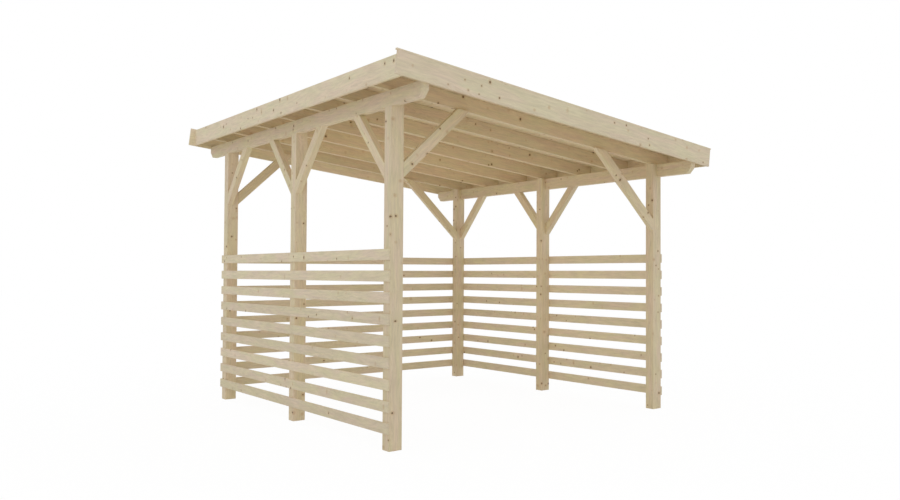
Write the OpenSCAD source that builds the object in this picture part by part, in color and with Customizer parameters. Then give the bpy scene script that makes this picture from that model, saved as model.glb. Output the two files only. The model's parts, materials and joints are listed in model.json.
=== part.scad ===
// Timber carport with a single sloped roof, open at the front, with slatted
// railings on the other three sides. Millimetres, +Z up. The origin lies on the
// ground at the middle of the six posts. The front is at -Y, and the roof falls
// from the left (-X) to the right (+X).

/* [Plan] */
// Side of the square posts
post_w = 115; // [100:5:150]
// Distance between the left and the right posts, centre to centre
span_x = 3035; // [2400:5:4000]
// Distance from one post to the next along a side, centre to centre
bay_y = 1940; // [1500:5:2500]

/* [Roof frame] */
// Height of the rafters' underside above the left posts' centres
eave_h = 2949; // [2400:1:3400]
// Fall of the roof towards the right, in degrees
slope = 6.35; // [2:0.05:12]
// Thickness of the two beams that the posts carry
beam_t = 58; // [45:1:80]
// Depth of the two beams
beam_d = 133; // [100:1:200]
// Depth of the seat that each rafter has on a beam's higher edge
seat_d = 3; // [1:0.5:10]
// Length and height of the corner cut off under each end of a beam, at 45 degrees
beam_cut = 62; // [10:1:90]
// Thickness of a rafter
rafter_t = 55; // [40:1:80]
// Depth of a rafter
rafter_d = 135; // [100:1:200]

/* [Roof edge] */
// Distance from the end posts' centres to the front and back of the roof
overhang_y = 583; // [300:1:800]
// Distance from the posts' centres to the side fascias' outer faces
overhang_x = 234; // [120:1:500]
// Thickness of the roof boards
board_t = 20; // [16:1:28]
// Thickness of the fascia boards
fascia_t = 28; // [18:1:40]
// Width of the front and back fascias
gable_w = 198; // [190:1:240]
// How far the front and back fascias hang below the rafters
gable_drop = 19; // [0:1:40]
// Width of the side fascias
side_w = 178; // [160:1:220]
// How far the left fascia stands above the roof boards
side_rise = 15.5; // [0:0.5:40]
// How far the front and back fascias run past the left fascia
lap_left = 61; // [20:1:80]
// How far the front and back fascias run past the right fascia
lap_right = 26; // [0:1:80]

/* [Knee braces] */
// Thickness of a brace
brace_t = 58; // [35:1:60]
// Width of a brace
brace_w = 92; // [70:1:120]
// Distance from the left beam's underside down to the middle of its braces' feet
left_reach = 534; // [400:1:700]
// Distance from the right beam's underside down to the middle of its braces' feet
right_reach = 496; // [400:1:700]
// Distance from a beam's underside down to the middle of a cross brace's foot
cross_reach = 521; // [400:1:700]

/* [Railings] */
// Width of a slat
slat_h = 92; // [60:1:120]
// Thickness of a slat
slat_t = 15; // [12:1:25]
// Distance from one slat to the next
slat_pitch = 177.5; // [130:0.5:220]
// Height of the lowest slat's bottom edge
slat_z = 137.5; // [50:0.5:300]
// Number of slats on a side
slat_rows = 9; // [3:1:11]

/* [Hidden] */

LEFT = -1;
RIGHT = 1;
FRONT = -1;
BACK = 1;

pine = [0.78, 0.72, 0.62];
pine_light = [0.82, 0.77, 0.68];
pine_dark = [0.62, 0.5, 0.34];

half_x = span_x / 2;
end_y = bay_y;
post_x = post_w / 2;

// Outer and inner faces of the fascias
roof_y = end_y + overhang_y;
gable_in = roof_y - fascia_t;
side_out = half_x + overhang_x;
side_in = side_out - fascia_t;

// A depth square to the roof, measured plumb
function plumb(d) = d / cos(slope);
// Height of the rafters' underside at x
function under_z(x) = eave_h - (x + half_x) * tan(slope);
// Height of the rafters' top and of the roof boards' top at x
function rafter_top(x) = under_z(x) + plumb(rafter_d);
function board_top(x) = rafter_top(x) + plumb(board_t);
// A point in X and Z at a distance square to the rafters' underside
function off_slope(x, d) = [x + d * sin(slope), under_z(x) + d * cos(slope)];

// Faces of a beam: the outer one is flush with the posts, and the posts'
// outer part is cut away under it
function beam_outer(side) = side * (half_x + post_x);
function beam_inner(side) = side * (half_x + post_x - beam_t);
function beam_top(side) = under_z(min(beam_outer(side), beam_inner(side))) + seat_d;
function beam_bottom(side) = beam_top(side) - beam_d;

// Place along Y of a rafter: they stand evenly, from the front posts' centres
// to the back posts'
rafter_count = 7;
function rafter_y(i) = -end_y + i * 2 * end_y / (rafter_count - 1);

// An outline in X and Z, drawn as a plate from y0 to y1
module plate_y(y0, y1, points) {
    translate([0, y1, 0])
        rotate([90, 0, 0])
            linear_extrude(height = y1 - y0)
                polygon(points);
}

// An outline in Y and Z, drawn as a plate from x0 to x1
module plate_x(x0, x1, points) {
    translate([x0, 0, 0])
        rotate([90, 0, 90])
            linear_extrude(height = x1 - x0)
                polygon(points);
}

// A box from one corner to the other
module box(low, high) {
    translate(low)
        cube(high - low);
}

// A post: its outer part ends under the beam, and its inner part runs up
// beside the beam to the rafter
module post(side, y) {
    inner = side * (half_x - post_x);
    color(pine)
        plate_y(y - post_x, y + post_x, [
            [beam_outer(side), 0],
            [inner, 0],
            [inner, under_z(inner)],
            [beam_inner(side), under_z(beam_inner(side))],
            [beam_inner(side), beam_bottom(side)],
            [beam_outer(side), beam_bottom(side)]
        ]);
}

// A beam along one side, square at its ends, with the lower corners cut off
module beam(side) {
    x0 = min(beam_outer(side), beam_inner(side));
    color(pine)
        plate_x(x0, x0 + beam_t, [
            [-gable_in, beam_top(side)],
            [-gable_in, beam_bottom(side) + beam_cut],
            [-gable_in + beam_cut, beam_bottom(side)],
            [gable_in - beam_cut, beam_bottom(side)],
            [gable_in, beam_bottom(side) + beam_cut],
            [gable_in, beam_top(side)]
        ]);
}

// The space that a beam takes out of a rafter's underside
module beam_seat(side, y0, y1) {
    x0 = min(beam_outer(side), beam_inner(side));
    box([x0, y0, beam_bottom(side)], [x0 + beam_t, y1, beam_top(side)]);
}

// A rafter between the side fascias, seated on both beams
module rafter(i) {
    y0 = rafter_y(i) - rafter_t / 2;
    y1 = y0 + rafter_t;
    color(pine_dark)
        difference() {
            plate_y(y0, y1, [
                [-side_in, under_z(-side_in)],
                [side_in, under_z(side_in)],
                [side_in, rafter_top(side_in)],
                [-side_in, rafter_top(-side_in)]
            ]);
            beam_seat(LEFT, y0 - 1, y1 + 1);
            beam_seat(RIGHT, y0 - 1, y1 + 1);
        }
}

// Roof boards, laid on the rafters inside the fascias
module roof_boards() {
    color(pine_dark)
        plate_y(-gable_in, gable_in, [
            [-side_in, rafter_top(-side_in)],
            [side_in, rafter_top(side_in)],
            [side_in, board_top(side_in)],
            [-side_in, board_top(-side_in)]
        ]);
}

// A fascia along the slope, at the front or the back, with its ends cut square
module gable_fascia(end) {
    y0 = end == FRONT ? -roof_y : gable_in;
    x0 = -side_out - lap_left;
    x1 = side_out + lap_right;
    color(pine)
        plate_y(y0, y0 + fascia_t, [
            off_slope(x0, -gable_drop),
            off_slope(x1, -gable_drop),
            off_slope(x1, gable_w - gable_drop),
            off_slope(x0, gable_w - gable_drop)
        ]);
}

// A level fascia along one side, between the front and the back fascia. The
// right one ends level with the roof boards, so that water runs off over it
module side_fascia(side) {
    x_in = side * side_in;
    x0 = min(x_in, side * side_out);
    top = board_top(x_in) + (side == LEFT ? side_rise : 0);
    color(pine_light)
        box([x0, -gable_in, top - side_w], [x0 + fascia_t, gable_in, top]);
}

// A brace under a beam, from the post at y towards dir along Y
module side_brace(side, y, dir) {
    half_cut = brace_w / 2 / cos(45);
    reach = side == LEFT ? left_reach : right_reach;
    face = y + dir * post_x;
    top = beam_bottom(side);
    x0 = min(beam_outer(side), beam_outer(side) - side * brace_t);
    color(pine_light)
        plate_x(x0, x0 + brace_t, [
            [face + dir * (reach - half_cut), top],
            [face + dir * (reach + half_cut), top],
            [face, top - reach - half_cut],
            [face, top - reach + half_cut]
        ]);
}

// A brace across the carport, from an end post up to the end rafter. It is
// flush with the post's front face
module cross_brace(side, end) {
    half_cut = brace_w / 2 / cos(45);
    face = side * (half_x - post_x);
    lean = -side;
    y0 = end * end_y - post_x;
    foot = beam_bottom(side) - cross_reach;
    rise = tan(slope) * lean;
    function meet(z) = (under_z(face) - z) / (1 + rise);
    color(pine_light)
        plate_y(y0, y0 + brace_t, [
            [face + lean * meet(foot + half_cut), foot + half_cut + meet(foot + half_cut)],
            [face + lean * meet(foot - half_cut), foot - half_cut + meet(foot - half_cut)],
            [face, foot - half_cut],
            [face, foot + half_cut]
        ]);
}

// Heights of the slats' bottom edges
slat_levels = [for (i = [0 : slat_rows - 1]) slat_z + i * slat_pitch];

// Slats fixed to the outer faces of the three posts on one side
module side_railing(side) {
    x0 = side == LEFT ? -half_x - post_x - slat_t : half_x + post_x;
    y0 = -end_y - post_x;
    y1 = end_y + post_x + slat_t;
    color(pine_light)
        for (z = slat_levels)
            box([x0, y0, z], [x0 + slat_t, y1, z + slat_h]);
}

// Slats fixed to the back faces of the two back posts
module railing_back() {
    x1 = half_x + post_x;
    y0 = end_y + post_x;
    color(pine)
        for (z = slat_levels)
            box([-x1, y0, z], [x1, y0 + slat_t, z + slat_h]);
}

post(LEFT, -end_y);  // post_front_left
post(LEFT, 0);  // post_middle_left
post(LEFT, end_y);  // post_back_left
post(RIGHT, -end_y);  // post_front_right
post(RIGHT, 0);  // post_middle_right
post(RIGHT, end_y);  // post_back_right
beam(LEFT);  // beam_left
beam(RIGHT);  // beam_right
rafter(0);  // rafter_1
rafter(1);  // rafter_2
rafter(2);  // rafter_3
rafter(3);  // rafter_4
rafter(4);  // rafter_5
rafter(5);  // rafter_6
rafter(6);  // rafter_7
cross_brace(LEFT, FRONT);  // brace_front_left_cross
side_brace(LEFT, -end_y, BACK);  // brace_front_left_side
side_brace(LEFT, 0, FRONT);  // brace_middle_left_front
side_brace(LEFT, 0, BACK);  // brace_middle_left_back
cross_brace(LEFT, BACK);  // brace_back_left_cross
side_brace(LEFT, end_y, FRONT);  // brace_back_left_side
cross_brace(RIGHT, FRONT);  // brace_front_right_cross
side_brace(RIGHT, -end_y, BACK);  // brace_front_right_side
side_brace(RIGHT, 0, FRONT);  // brace_middle_right_front
side_brace(RIGHT, 0, BACK);  // brace_middle_right_back
cross_brace(RIGHT, BACK);  // brace_back_right_cross
side_brace(RIGHT, end_y, FRONT);  // brace_back_right_side
gable_fascia(FRONT);  // fascia_front
gable_fascia(BACK);  // fascia_back
side_fascia(LEFT);  // fascia_left
side_fascia(RIGHT);  // fascia_right
roof_boards();
side_railing(LEFT);  // railing_left
railing_back();
side_railing(RIGHT);  // railing_right
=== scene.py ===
"""Looks of a timber carport: posts, beams, rafters, roof boards, braces, fascias and railings."""

import json
import math

import bmesh
import bpy
import numpy as np
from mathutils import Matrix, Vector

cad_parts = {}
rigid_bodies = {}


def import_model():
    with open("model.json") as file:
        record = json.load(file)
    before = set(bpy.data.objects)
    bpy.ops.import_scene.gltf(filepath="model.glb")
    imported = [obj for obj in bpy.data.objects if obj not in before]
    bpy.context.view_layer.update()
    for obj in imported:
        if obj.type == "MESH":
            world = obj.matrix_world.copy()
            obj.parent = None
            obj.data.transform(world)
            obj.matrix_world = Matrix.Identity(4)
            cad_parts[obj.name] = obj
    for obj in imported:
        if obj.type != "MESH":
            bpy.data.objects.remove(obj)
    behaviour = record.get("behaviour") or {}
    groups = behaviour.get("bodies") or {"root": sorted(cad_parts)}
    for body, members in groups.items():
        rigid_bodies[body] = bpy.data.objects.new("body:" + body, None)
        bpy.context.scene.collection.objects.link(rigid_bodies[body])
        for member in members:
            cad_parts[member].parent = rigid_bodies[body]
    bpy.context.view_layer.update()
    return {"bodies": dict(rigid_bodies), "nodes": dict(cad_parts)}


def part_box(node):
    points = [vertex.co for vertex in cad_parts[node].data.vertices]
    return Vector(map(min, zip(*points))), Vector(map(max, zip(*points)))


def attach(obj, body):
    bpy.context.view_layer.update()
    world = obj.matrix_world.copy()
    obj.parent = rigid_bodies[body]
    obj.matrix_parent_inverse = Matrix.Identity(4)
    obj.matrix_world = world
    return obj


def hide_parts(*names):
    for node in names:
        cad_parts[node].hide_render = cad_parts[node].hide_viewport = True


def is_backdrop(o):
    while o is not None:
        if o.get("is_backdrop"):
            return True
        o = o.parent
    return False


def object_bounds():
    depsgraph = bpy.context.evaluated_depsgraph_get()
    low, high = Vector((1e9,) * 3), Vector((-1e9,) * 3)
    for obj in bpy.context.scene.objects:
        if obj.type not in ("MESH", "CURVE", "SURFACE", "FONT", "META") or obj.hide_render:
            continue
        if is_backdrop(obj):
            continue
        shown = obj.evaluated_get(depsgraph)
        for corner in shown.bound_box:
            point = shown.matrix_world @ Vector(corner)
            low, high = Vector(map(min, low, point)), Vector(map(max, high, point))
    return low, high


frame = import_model()


# ---------------------------------------------------------------- the studio
# A level white floor under an even white sky, and a weak warm lamp under the
# roof that lifts the inner faces. The eye stands at a person's height.

EYE = (-4.882, -8.332, 1.4655)
LOOK_UP = math.radians(1.45)
LOOK_RIGHT = math.radians(44.13)
LENS_MM = 33.586
LENS_SHIFT = -0.2111
SKY_STRENGTH = 0.745


def linear(hex_colour):
    """An sRGB hex colour as linear red, green, blue and 1."""
    parts = [int(hex_colour[i:i + 2], 16) / 255 for i in (1, 3, 5)]
    return tuple(c / 12.92 if c <= 0.04045 else ((c + 0.055) / 1.055) ** 2.4 for c in parts) + (1.0,)


def add(tree, kind, inputs=(), **settings):
    """Adds a node with its settings; inputs maps a socket's name or number to a value or to a socket."""
    node = tree.nodes.new("ShaderNode" + kind)
    for key, value in settings.items():
        setattr(node, key, value)
    for key, value in dict(inputs).items():
        if isinstance(value, bpy.types.NodeSocket):
            tree.links.new(value, node.inputs[key])
        else:
            node.inputs[key].default_value = value
    return node


def unlit_rays(tree):
    """1 for camera, glossy and transmission rays, and 0 for the rays that light the object."""
    path = add(tree, "LightPath")
    seen = add(tree, "Math", {0: path.outputs["Is Camera Ray"], 1: path.outputs["Is Glossy Ray"]},
               operation="MAXIMUM")
    return add(tree, "Math", {0: seen.outputs[0], 1: path.outputs["Is Transmission Ray"]},
               operation="MAXIMUM")


view_data = bpy.data.cameras.new("view")
view_data.sensor_width = 36.0
view_data.lens = LENS_MM
view_data.shift_x = LENS_SHIFT
view = bpy.data.objects.new("view", view_data)
view.location = EYE
view.rotation_euler = (math.pi / 2 + LOOK_UP, 0.0, -LOOK_RIGHT)
bpy.context.collection.objects.link(view)
bpy.context.scene.camera = view
bpy.context.scene.view_settings.view_transform = "Standard"

surround = bpy.data.worlds.new("surround")
surround.use_nodes = True
sky = surround.node_tree
sky.nodes.clear()
sky_light = add(sky, "Background", {"Color": linear("#fcfdff"), "Strength": SKY_STRENGTH})
sky_white = add(sky, "Background", {"Color": (1.0, 1.0, 1.0, 1.0), "Strength": 1.0})
sky_mix = add(sky, "MixShader", {
    0: unlit_rays(sky).outputs[0], 1: sky_light.outputs[0], 2: sky_white.outputs[0],
})
add(sky, "OutputWorld", {"Surface": sky_mix.outputs[0]})
bpy.context.scene.world = surround

# Matt white studio paint: most of it is seen as plain white, and the rest
# takes the object's soft shadow. The floor lies just under the posts' feet, so
# that no two faces share a plane.
FLOOR_HALF = 60.0
FLOOR_DROP = 0.0004
PLAIN_SHARE = 0.93
PLAIN_STRENGTH = 1.023

paint = bpy.data.materials.new("matt_white_floor_paint")
paint.use_nodes = True
coat = paint.node_tree
coat.nodes.clear()
coat_matt = add(coat, "BsdfDiffuse", {"Color": linear("#f8f8f7")})
coat_white = add(coat, "Emission", {"Color": (1.0, 1.0, 1.0, 1.0), "Strength": PLAIN_STRENGTH})
coat_share = add(coat, "Math", {0: unlit_rays(coat).outputs[0], 1: PLAIN_SHARE}, operation="MULTIPLY")
coat_mix = add(coat, "MixShader", {
    0: coat_share.outputs[0], 1: coat_matt.outputs[0], 2: coat_white.outputs[0],
})
add(coat, "OutputMaterial", {"Surface": coat_mix.outputs[0]})

floor_mesh = bpy.data.meshes.new("floor")
corners = FLOOR_HALF * np.array([[-1, -1, 0], [1, -1, 0], [1, 1, 0], [-1, 1, 0]], float)
corners[:, 2] = -FLOOR_DROP
floor_mesh.from_pydata(corners.tolist(), [], [(0, 1, 2, 3)])
floor_mesh.materials.append(paint)
floor = bpy.data.objects.new("floor", floor_mesh)
bpy.context.collection.objects.link(floor)
floor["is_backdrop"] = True

LAMP_PLACE = (0.0, -0.3, 1.5)
LAMP_RADIUS = 0.9
LAMP_WATTS = 11.5

fill_data = bpy.data.lights.new("fill", "POINT")
fill_data.shadow_soft_size = LAMP_RADIUS
fill_data.energy = LAMP_WATTS
fill_data.color = linear("#fffcf9")[:3]
fill = bpy.data.objects.new("fill", fill_data)
fill.location = LAMP_PLACE
fill.visible_camera = False
bpy.context.collection.objects.link(fill)


# ------------------------------------------------------------------ the wood
# Planed spruce, untreated: pale straw, pinkish and greenish bands, faint
# latewood lines that bend round small brown knots, and a dry, dull face.

# Real rings stand 2 to 4 mm apart; they are drawn about 6 mm apart, because
# finer ones don't show at this distance. They shift by up to 1.6 rings between
# patches, of which there are 22 to the metre.
RING = 0.006
RING_SHIFT = 1.6
RING_PATCHES = 22.0

# Each cell of 160 by 62 by 62 mm has room for one branch. Branches are 9 to
# 21 mm thick, and bow the rings beside them by up to 7 mm.
KNOT_ALONG = 0.16
KNOT_ACROSS = 0.062
KNOT_LONG = 1.35
KNOT_THIN = 0.0045
KNOT_THICK = 0.0105
KNOT_BOW = 0.007

# Patches per metre along the trunk and both ways across it. Bends are about
# 600 by 250 mm, stretches of strong rings 1250 by 70 mm, bands 380 by 83 mm
# and streaks 170 by 17 mm. Real fibres are about 3 by 0.03 mm; they are drawn
# 83 by 1.4 mm, because finer ones don't show.
BENDS = (1.7, 4.0, 4.0)
STRONG_YEARS = (0.8, 14.0, 14.0)
BANDS = (2.6, 12.0, 12.0)
STREAKS = (6.0, 60.0, 60.0)
FIBRES = (12.0, 700.0, 700.0)

# The trunk bends by up to 45 mm to each side. Planing leaves less than 0.4 mm
# of relief.
BEND_DEPTH = 0.09
RELIEF = 0.0004


def spruce(name, straw, rose, latewood, knots=0.5):
    """Solid spruce in the wood's own place: rings round the pith, bands along the trunk, and
    branches that run outwards from it. Knots is the share of the cells that hold a branch.

    A MapRange reads the range in its inputs 1 and 2 and gives the one in 3 and 4, and a Mix goes
    from the colour in its input 6 to the one in 7.
    """
    made = bpy.data.materials.new(name)
    made.use_nodes = True
    tree = made.node_tree
    tree.nodes.clear()
    place = add(tree, "Attribute", attribute_name="wood")
    tone = add(tree, "Attribute", attribute_name="tone")
    cut_end = add(tree, "Attribute", attribute_name="cut_end")

    # The trunk is never quite straight: its pith and its rings wander.
    bend_place = add(tree, "VectorMath", {0: place.outputs["Vector"], 1: BENDS}, operation="MULTIPLY")
    wander = add(tree, "TexNoise", {"Vector": bend_place.outputs[0], "Scale": 1.0, "Detail": 2.0})
    centred = add(tree, "VectorMath", {0: wander.outputs["Color"], 1: (0.5, 0.5, 0.5)}, operation="SUBTRACT")
    shift = add(tree, "VectorMath", {0: centred.outputs[0], 1: (0.0, BEND_DEPTH, BEND_DEPTH)},
                operation="MULTIPLY")
    bent = add(tree, "VectorMath", {0: place.outputs["Vector"], 1: shift.outputs[0]}, operation="ADD")
    across = add(tree, "VectorMath", {0: bent.outputs[0], 1: (0.0, 1.0, 1.0)}, operation="MULTIPLY")
    radius = add(tree, "VectorMath", {0: across.outputs[0]}, operation="LENGTH")
    outwards = add(tree, "VectorMath", {0: across.outputs[0]}, operation="NORMALIZE")

    # Branches: scattered ovals that reach KNOT_LONG times as far outwards as across. With gap as
    # the way from the oval's middle, reach is the square root of
    # gap . gap + (1 / KNOT_LONG ** 2 - 1) * (gap . outwards) ** 2.
    spread = (1 / KNOT_ALONG, 1 / KNOT_ACROSS, 1 / KNOT_ACROSS)
    packed = add(tree, "VectorMath", {0: bent.outputs[0], 1: spread}, operation="MULTIPLY")
    cells = add(tree, "TexVoronoi", {"Vector": packed.outputs[0], "Scale": 1.0, "Randomness": 0.9})
    apart = add(tree, "VectorMath", {0: packed.outputs[0], 1: cells.outputs["Position"]},
                operation="SUBTRACT")
    gap = add(tree, "VectorMath", {0: apart.outputs[0], 1: spread}, operation="DIVIDE")
    square = add(tree, "VectorMath", {0: gap.outputs[0], 1: gap.outputs[0]}, operation="DOT_PRODUCT")
    along_branch = add(tree, "VectorMath", {0: gap.outputs[0], 1: outwards.outputs[0]},
                       operation="DOT_PRODUCT")
    forgiven = add(tree, "Math", {0: along_branch.outputs["Value"], 1: 2.0}, operation="POWER")
    less = add(tree, "Math", {0: forgiven.outputs[0], 1: KNOT_LONG ** -2 - 1, 2: square.outputs["Value"]},
               operation="MULTIPLY_ADD")
    reach = add(tree, "Math", {0: less.outputs[0]}, operation="SQRT")
    chance = add(tree, "SeparateColor", {0: cells.outputs["Color"]})
    alive = add(tree, "Math", {0: chance.outputs["Green"], 1: knots}, operation="LESS_THAN")
    girth = add(tree, "MapRange", {0: chance.outputs["Red"], 3: KNOT_THIN, 4: KNOT_THICK})
    share = add(tree, "Math", {0: reach.outputs[0], 1: girth.outputs[0]}, operation="DIVIDE")
    core = add(tree, "MapRange", {0: share.outputs[0], 1: 0.8, 2: 1.15, 3: 1.0, 4: 0.0})
    knot = add(tree, "Math", {0: core.outputs[0], 1: alive.outputs[0]}, operation="MULTIPLY")
    halo_fade = add(tree, "MapRange", {0: share.outputs[0], 1: 0.8, 2: 3.2, 3: 1.0, 4: 0.0},
                    interpolation_type="SMOOTHERSTEP")
    halo = add(tree, "Math", {0: halo_fade.outputs[0], 1: alive.outputs[0]}, operation="MULTIPLY")

    # Year rings, bowed by each branch. A year starts pale, darkens from about a third of its
    # width on and ends sharply, and some stretches of the trunk have stronger rings.
    bowed = add(tree, "Math", {0: halo.outputs[0], 1: KNOT_BOW, 2: radius.outputs["Value"]},
                operation="MULTIPLY_ADD")
    count = add(tree, "Math", {0: bowed.outputs[0], 1: RING}, operation="DIVIDE")
    uneven = add(tree, "TexNoise", {"Vector": bent.outputs[0], "Scale": RING_PATCHES, "Detail": 1.0})
    years = add(tree, "Math", {0: uneven.outputs[0], 1: RING_SHIFT, 2: count.outputs[0]},
                operation="MULTIPLY_ADD")
    year = add(tree, "Math", {0: years.outputs[0]}, operation="FRACT")
    late = add(tree, "ValToRGB", {0: year.outputs[0]})
    late.color_ramp.elements[0].position = 0.35
    late.color_ramp.elements[0].color = (0.0, 0.0, 0.0, 1.0)
    late.color_ramp.elements[1].position = 0.88
    late.color_ramp.elements[1].color = (1.0, 1.0, 1.0, 1.0)
    late.color_ramp.elements.new(1.0).color = (0.1, 0.1, 0.1, 1.0)
    strong_place = add(tree, "VectorMath", {0: bent.outputs[0], 1: STRONG_YEARS}, operation="MULTIPLY")
    strong = add(tree, "TexNoise", {"Vector": strong_place.outputs[0], "Scale": 1.0, "Detail": 2.0})
    late_most = add(tree, "MapRange", {0: strong.outputs[0], 1: 0.35, 2: 0.65, 3: 0.04, 4: 0.21})
    late_end = add(tree, "Math", {0: cut_end.outputs["Fac"], 1: 0.1, 2: late_most.outputs[0]},
                   operation="MULTIPLY_ADD")
    late_share = add(tree, "Math", {0: late.outputs[0], 1: late_end.outputs[0]}, operation="MULTIPLY")

    # Pinkish and greenish bands, and streaks and fibres along the trunk.
    band_place = add(tree, "VectorMath", {0: bent.outputs[0], 1: BANDS}, operation="MULTIPLY")
    bands = add(tree, "TexNoise", {"Vector": band_place.outputs[0], "Scale": 1.0, "Detail": 3.0})
    elsewhere = add(tree, "VectorMath", {0: band_place.outputs[0], 1: (31.0, 7.0, 3.0)}, operation="ADD")
    damp = add(tree, "TexNoise", {"Vector": elsewhere.outputs[0], "Scale": 0.8, "Detail": 2.0})
    streak_place = add(tree, "VectorMath", {0: bent.outputs[0], 1: STREAKS}, operation="MULTIPLY")
    streaks = add(tree, "TexNoise", {
        "Vector": streak_place.outputs[0], "Scale": 1.0, "Detail": 3.0, "Roughness": 0.6,
    })
    fibre_place = add(tree, "VectorMath", {0: bent.outputs[0], 1: FIBRES}, operation="MULTIPLY")
    fibres = add(tree, "TexNoise", {"Vector": fibre_place.outputs[0], "Scale": 1.0, "Detail": 2.0})

    hue = add(tree, "MapRange", {0: bands.outputs[0], 1: 0.36, 2: 0.64})
    base = add(tree, "Mix", {0: hue.outputs[0], 6: linear(straw), 7: linear(rose)}, data_type="RGBA")
    green = add(tree, "MapRange", {0: damp.outputs[0], 1: 0.48, 2: 0.68, 3: 0.0, 4: 0.24})
    greened = add(tree, "Mix", {0: green.outputs[0], 6: base.outputs[2], 7: linear("#dad4ac")},
                  data_type="RGBA")
    ringed = add(tree, "Mix", {0: late_share.outputs[0], 6: greened.outputs[2], 7: linear(latewood)},
                 data_type="RGBA")
    shade = add(tree, "MapRange", {0: streaks.outputs[0], 1: 0.3, 2: 0.7, 3: 0.905, 4: 1.075})
    for drift in (
        add(tree, "MapRange", {0: fibres.outputs[0], 1: 0.3, 2: 0.7, 3: 0.95, 4: 1.045}),
        add(tree, "MapRange", {0: tone.outputs["Fac"], 3: 0.95, 4: 1.04}),
        add(tree, "MapRange", {0: cut_end.outputs["Fac"], 3: 1.0, 4: 0.97}),
    ):
        shade = add(tree, "Math", {0: shade.outputs[0], 1: drift.outputs[0]}, operation="MULTIPLY")
    shaded = add(tree, "VectorMath", {0: ringed.outputs[2], "Scale": shade.outputs[0]}, operation="SCALE")
    warm = add(tree, "Math", {0: halo.outputs[0], 1: 0.4}, operation="MULTIPLY")
    warmed = add(tree, "Mix", {0: warm.outputs[0], 6: shaded.outputs[0], 7: linear("#c4995e")},
                 data_type="RGBA")
    rim = add(tree, "MapRange", {0: share.outputs[0], 1: 0.3, 2: 0.95})
    heart = add(tree, "Mix", {0: rim.outputs[0], 6: linear("#6d4a2a"), 7: linear("#3c2a18")},
                data_type="RGBA")
    dark = add(tree, "Math", {0: knot.outputs[0], 1: 0.9}, operation="MULTIPLY")
    colour = add(tree, "Mix", {0: dark.outputs[0], 6: warmed.outputs[2], 7: heart.outputs[2]},
                 data_type="RGBA")

    # Dry planed wood is dull; the dense latewood stands up a little and is smoother.
    height = add(tree, "Math", {0: late.outputs[0], 1: 0.5, 2: fibres.outputs[0]}, operation="MULTIPLY_ADD")
    relief = add(tree, "Bump", {"Strength": 0.5, "Distance": RELIEF, "Height": height.outputs[0]})
    dry = add(tree, "MapRange", {0: late.outputs[0], 3: 0.70, 4: 0.56})
    face = add(tree, "BsdfPrincipled", {
        "Base Color": colour.outputs[2],
        "Roughness": dry.outputs[0],
        "Specular IOR Level": 0.25,
        "Normal": relief.outputs[0],
    })
    add(tree, "OutputMaterial", {"Surface": face.outputs[0]})
    return made


# ----------------------------------------------------------------- the posts
# Six square posts of planed spruce, 115 mm. Each is half-lapped at the top: the
# outer part stops under the beam, and the inner part runs up to the rafter.

BODY = next(iter(frame["bodies"]))
FALL = math.radians(6.35)
OFF_SLOPE = np.array([math.sin(FALL), 0.0, math.cos(FALL)])
LEVEL_X = (1.0, 0.0, 0.0)
LEVEL_Y = (0.0, 1.0, 0.0)
UP = (0.0, 0.0, 1.0)
SIDES = {"left": -1.0, "right": 1.0}
PLACES = {"front": -1.0, "middle": 0.0, "back": 1.0}

# Every timber is sawn from its own place in a trunk, drawn with a fixed seed.
TRUNK_LONG = 40.0
draw = np.random.default_rng(2074)


def planed(width, depth, arris=0.004):
    """A rectangle with rounded corners, counterclockwise. A corner is three points of an arc,
    each centre + arris * (cos turn, sin turn), and its centre lies arris away from both sides.
    """
    corner = np.arange(4)[:, None] * math.pi / 2
    turn = corner + np.array([0.0, math.pi / 4, math.pi / 2])
    x = (width / 2 - arris) * np.sign(np.cos(turn[:, 1:2])) + arris * np.cos(turn)
    y = (depth / 2 - arris) * np.sign(np.sin(turn[:, 1:2])) + arris * np.sin(turn)
    return np.column_stack([x.ravel(), y.ravel()])


def timber(outlines, middle, side, rise, cuts, pith=0.07):
    """A straight timber between the planes that cut it, each cut a point and a normal with its own outline.

    An outline's point (p, q) lies on the line through middle + p * side + q * rise in the direction
    along = side x rise, and a cut's ring is where those lines meet the cut's plane:
    s = (point - start) . normal / (along . normal).
    Returns the points, the quads, the two end faces, and the wood's own place of each point in
    metres: its distance along the trunk, and two distances from a pith at about the given radius.
    """
    middle, side, rise = (np.asarray(v, float) for v in (middle, side, rise))
    along = np.cross(side, rise)
    along /= np.linalg.norm(along)
    angle = draw.uniform(0, 2 * math.pi)
    away = pith * draw.uniform(0.6, 1.25) * np.array([math.cos(angle), math.sin(angle)])
    from_butt = draw.uniform(0, TRUNK_LONG)
    rings, wood = [], []
    for outline, (point, normal) in zip(outlines, cuts):
        start = middle + outline[:, :1] * side + outline[:, 1:] * rise
        normal = np.asarray(normal, float)
        s = ((np.asarray(point, float) - start) @ normal) / (along @ normal)
        rings.append(start + s[:, None] * along)
        wood.append(np.column_stack([s + from_butt, outline + away]))
    per_ring = len(outlines[0])
    last_ring = (len(rings) - 1) * per_ring
    ring, corner = np.meshgrid(np.arange(0, last_ring, per_ring), np.arange(per_ring), indexing="ij")
    here = ring + corner
    beside = ring + (corner + 1) % per_ring
    quads = np.stack([here, beside, beside + per_ring, here + per_ring], -1).reshape(-1, 4)
    ends = [list(range(per_ring))[::-1], list(range(last_ring, last_ring + per_ring))]
    return np.vstack(rings), quads, ends, np.vstack(wood)


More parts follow.
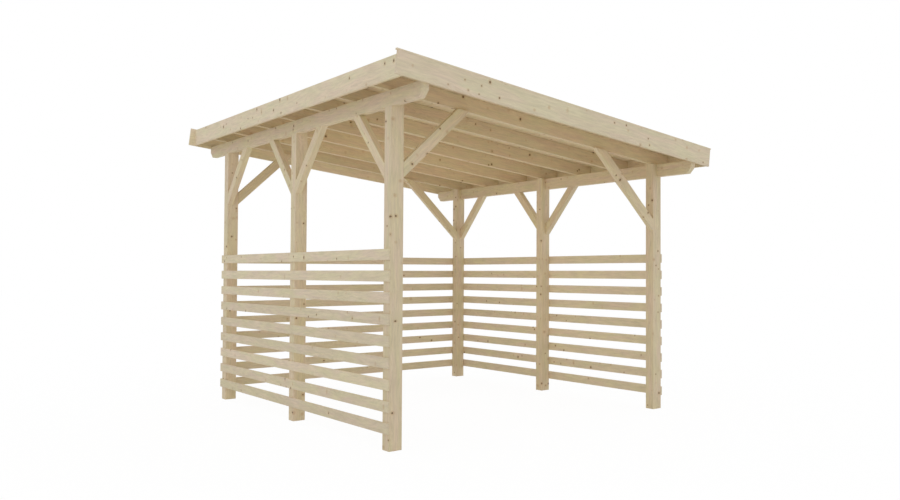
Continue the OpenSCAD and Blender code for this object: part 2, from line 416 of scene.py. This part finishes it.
def piece(name, timbers, finish, material_slot, *nodes):
    """Joins timbers into one mesh that stands for the named solids."""
    points, faces, wood, tone, cut_end = [], [], [], [], []
    first = 0
    for its_points, quads, ends, its_wood in timbers:
        points.append(its_points)
        wood.append(its_wood)
        tone.append(np.full(len(its_points), draw.uniform(0, 1)))
        faces += (quads + first).tolist() + [[k + first for k in end] for end in ends]
        cut_end += [0.0] * len(quads) + [1.0] * len(ends)
        first += len(its_points)
    mesh = bpy.data.meshes.new(name)
    mesh.from_pydata(np.vstack(points).tolist(), [], faces)
    mesh.attributes.new("wood", "FLOAT_VECTOR", "POINT").data.foreach_set("vector", np.vstack(wood).ravel())
    mesh.attributes.new("tone", "FLOAT", "POINT").data.foreach_set("value", np.concatenate(tone))
    mesh.attributes.new("cut_end", "FLOAT", "FACE").data.foreach_set("value", cut_end)
    # Where a lap or a cut corner brings points together, they become one.
    merged = bmesh.new()
    merged.from_mesh(mesh)
    bmesh.ops.dissolve_degenerate(merged, dist=1e-6, edges=merged.edges)
    merged.to_mesh(mesh)
    merged.free()
    mesh.materials.append(finish)
    made = bpy.data.objects.new(name, mesh)
    bpy.context.collection.objects.link(made)
    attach(made, BODY)
    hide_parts(*nodes)


# A post is full up to the shoulder of its lap, and from there only its tongue goes on.
post_spruce = spruce("planed_spruce_posts", "#e9dab4", "#ecd7bb", "#c0a274", knots=0.7)

for place in PLACES:
    for side_name, side in SIDES.items():
        node = f"post_{place}_{side_name}"
        low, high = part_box(node)
        beam_low, beam_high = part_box("beam_" + side_name)
        middle = (low + high) / 2
        lap_x = beam_low.x if side > 0 else beam_high.x
        full = planed(high.x - low.x, high.y - low.y)
        lapped = full.copy()
        lapped[full[:, 0] * side > 0, 0] = lap_x - middle.x
        tongue_left = low.x if side > 0 else lap_x
        shoulder = ((0, 0, beam_low.z), UP)
        cuts = [((0, 0, low.z), UP), shoulder, shoulder, ((tongue_left, 0, high.z), OFF_SLOPE)]
        stick = timber([full, full, lapped, lapped], (middle.x, middle.y, 0), LEVEL_X, LEVEL_Y, cuts)
        piece(node + "_timber", [stick], post_spruce, "post_timber", node)


# ----------------------------------------------------------------- the beams
# Two beams of planed spruce, one along each side, set into the posts' laps.
# They are square at their ends, with the lower corner cut off at 45 degrees.

beam_spruce = spruce("planed_spruce_beams", "#e5d7b0", "#e7d1b6", "#bb9c6d")
BEAM_CUT = 0.062

for side_name in SIDES:
    node = "beam_" + side_name
    low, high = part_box(node)
    middle = (low + high) / 2
    depth = high.z - low.z
    full = planed(high.x - low.x, depth)
    upper = full.copy()
    upper[:, 1] = np.maximum(upper[:, 1], BEAM_CUT - depth / 2)
    # The end faces lack the corner that is cut off, BEAM_CUT high and as long.
    cuts = [((0, y, 0), LEVEL_Y) for y in (low.y, low.y + BEAM_CUT, high.y - BEAM_CUT, high.y)]
    stick = timber([upper, full, full, upper], middle, (-1, 0, 0), UP, cuts)
    piece(node + "_timber", [stick], beam_spruce, "beam_timber", node)


# --------------------------------------------------------------- the rafters
# Seven rafters of planed spruce across the carport, laid on edge on both
# beams. The end ones stand over the end posts. All stop against the side
# fascias.

rafter_spruce = spruce("planed_spruce_rafters", "#e3d2aa", "#e6cdac", "#b79666", knots=0.6)
RAFTERS = 7

for number in range(1, RAFTERS + 1):
    node = f"rafter_{number}"
    low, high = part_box(node)
    middle = (low + high) / 2
    # Its box is as high as its plumb depth and its whole fall together.
    depth = (high.z - low.z - (high.x - low.x) * math.tan(FALL)) * math.cos(FALL)
    outline = planed(high.y - low.y, depth)
    cuts = [((low.x, 0, 0), LEVEL_X), ((high.x, 0, 0), LEVEL_X)]
    stick = timber([outline] * 2, middle, LEVEL_Y, OFF_SLOPE, cuts)
    piece(node + "_timber", [stick], rafter_spruce, "rafter_timber", node)


# ----------------------------------------------------------- the roof boards
# Tongued and grooved boards of planed spruce, about 121 mm wide, nailed across
# the rafters. Their lower edges are cut off, so that a V shows at each joint
# from below.

board_spruce = spruce("planed_spruce_roof_boards", "#e9d9b0", "#ecd5b4", "#bc9d6e", knots=0.35)
BOARD_W = 0.121
BOARD_V = 0.0035
BOARD_GAP = 0.0006

low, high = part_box("roof_boards")
width = high.x - low.x
plumb = high.z - low.z - width * math.tan(FALL)
board_count = round(width / BOARD_W)
step = width / board_count
edge, face = step / 2, plumb / 2
# Neighbours touch just over the V, and stand a little apart at the top.
board = np.array([
    [edge, BOARD_V - face], [edge - BOARD_GAP, face], [BOARD_GAP - edge, face], [-edge, BOARD_V - face],
    [BOARD_V - edge, -face], [edge - BOARD_V, -face],
])
cuts = [((0, low.y, 0), LEVEL_Y), ((0, high.y, 0), LEVEL_Y)]
boards = []
for k in range(board_count):
    x = low.x + (k + 0.5) * step
    z = low.z + (high.x - x) * math.tan(FALL) + plumb / 2
    boards.append(timber([board] * 2, (x, 0, z), (-1, 0, math.tan(FALL)), UP, cuts, pith=0.09))
piece("roof_board_lining", boards, board_spruce, "roof_board", "roof_boards")


# ----------------------------------------------------------- the knee braces
# Twelve braces of planed spruce at 45 degrees: eight under the beams, flush
# with the posts' outer faces, and four across the carport, up to the end
# rafters.

brace_spruce = spruce("planed_spruce_braces", "#e9dbb3", "#ebd5b7", "#bd9e70")
BRACE_W = 0.092
COS_45 = math.sqrt(0.5)

# A corner post has a side brace and a cross brace, and a middle post one each way.
rafter_low, rafter_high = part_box("rafter_1")
for place, where in PLACES.items():
    for side_name, side in SIDES.items():
        beam_low, beam_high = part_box("beam_" + side_name)
        for kind, lean in (("side", -where), ("front", -1.0), ("back", 1.0), ("cross", -side)):
            node = f"brace_{place}_{side_name}_{kind}"
            if node not in frame["nodes"]:
                continue
            low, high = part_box(node)
            foot = (low + high) / 2
            foot.z = low.z + BRACE_W / 2 / COS_45
            if kind == "cross":
                foot.x = low.x if lean > 0 else high.x
                out = np.array([lean, 0, 0])
                thick = high.y - low.y
                top = ((rafter_high.x, 0, rafter_low.z), OFF_SLOPE)
            else:
                foot.y = low.y if lean > 0 else high.y
                out = np.array([0, lean, 0])
                thick = high.x - low.x
                top = ((0, 0, beam_low.z), UP)
            along = (out + UP) * COS_45
            rise = (UP - out) * COS_45
            outline = planed(thick, BRACE_W)
            stick = timber([outline] * 2, foot, np.cross(rise, along), rise, [(foot, out), top])
            piece(node + "_timber", [stick], brace_spruce, "brace_timber", node)


# --------------------------------------------------------------- the fascias
# Spruce boards close the roof's edge: two along the slope at the front and the
# back, and two level ones at the sides, between them. A thin lath covers the
# front one's top edge and stands out at both of its ends.

fascia_spruce = spruce("planed_spruce_fascias", "#ece0be", "#efdbc1", "#c7aa7c", knots=0.27)
FASCIA_ARRIS = 0.003
FASCIA_PITH = 0.12
LATH_ARRIS = 0.002
LATH_T = 0.013
LATH_DROP = 0.0016
LATH_OUT = 0.012
LATH_SHORT = 0.001
DOWN_SLOPE = np.array([math.cos(FALL), 0.0, -math.sin(FALL)])

for end in ("front", "back"):
    node = "fascia_" + end
    low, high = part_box(node)
    middle = np.array((low + high) / 2)
    span, rise = high.x - low.x, high.z - low.z
    # A board of this length and width fills its box when it is turned by FALL.
    length = (span * math.cos(FALL) - rise * math.sin(FALL)) / math.cos(2 * FALL)
    width = (rise * math.cos(FALL) - span * math.sin(FALL)) / math.cos(2 * FALL)
    left = middle - DOWN_SLOPE * length / 2
    right = middle + DOWN_SLOPE * length / 2
    thick = high.y - low.y
    if end == "back":
        outline = planed(thick, width, FASCIA_ARRIS)
        cuts = [(left, DOWN_SLOPE), (right, DOWN_SLOPE)]
        sticks = [timber([outline] * 2, middle, LEVEL_Y, OFF_SLOPE, cuts, FASCIA_PITH)]
    else:
        lower = middle - OFF_SLOPE * (LATH_T + LATH_DROP) / 2
        outline = planed(thick, width - LATH_T - LATH_DROP, LATH_ARRIS)
        cuts = [(left, DOWN_SLOPE), (right - DOWN_SLOPE * LATH_OUT, DOWN_SLOPE)]
        sticks = [timber([outline] * 2, lower, LEVEL_Y, OFF_SLOPE, cuts, FASCIA_PITH)]
        upper = middle + OFF_SLOPE * (width / 2 - LATH_DROP - LATH_T / 2)
        outline = planed(thick, LATH_T, LATH_ARRIS)
        cuts = [(left - DOWN_SLOPE * LATH_OUT, DOWN_SLOPE), (right - DOWN_SLOPE * LATH_SHORT, DOWN_SLOPE)]
        sticks.append(timber([outline] * 2, upper, LEVEL_Y, OFF_SLOPE, cuts))
    piece(node + "_board", sticks, fascia_spruce, "fascia_board", node)

for side_name in SIDES:
    node = "fascia_" + side_name
    low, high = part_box(node)
    middle = (low + high) / 2
    outline = planed(high.x - low.x, high.z - low.z, FASCIA_ARRIS)
    cuts = [((0, low.y, 0), LEVEL_Y), ((0, high.y, 0), LEVEL_Y)]
    stick = timber([outline] * 2, middle, (-1, 0, 0), UP, cuts, FASCIA_PITH)
    piece(node + "_board", [stick], fascia_spruce, "fascia_board", node)


# -------------------------------------------------------------- the railings
# Nine level slats of planed spruce on each closed side, fixed flat on the
# posts' outer faces, with gaps nearly as wide as the slats between them.

slat_spruce = spruce("planed_spruce_slats", "#ebdfbb", "#eddac1", "#c8aa7e", knots=0.25)
SLAT_H = 0.092
SLAT_ARRIS = 0.003
SLAT_PITH = 0.10
SLAT_ROWS = 9

for name in ("left", "back", "right"):
    node = "railing_" + name
    low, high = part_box(node)
    middle = (low + high) / 2
    pitch = (high.z - low.z - SLAT_H) / (SLAT_ROWS - 1)
    if name == "back":
        outline = planed(high.y - low.y, SLAT_H, SLAT_ARRIS)
        cuts = [((low.x, 0, 0), LEVEL_X), ((high.x, 0, 0), LEVEL_X)]
        side = LEVEL_Y
    else:
        outline = planed(high.x - low.x, SLAT_H, SLAT_ARRIS)
        cuts = [((0, low.y, 0), LEVEL_Y), ((0, high.y, 0), LEVEL_Y)]
        side = (-1, 0, 0)
    slats = []
    for row in range(SLAT_ROWS):
        z = low.z + SLAT_H / 2 + row * pitch
        slats.append(timber([outline] * 2, (middle.x, middle.y, z), side, UP, cuts, SLAT_PITH))
    piece(node + "_slats", slats, slat_spruce, "slat_timber", node)


low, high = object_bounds()
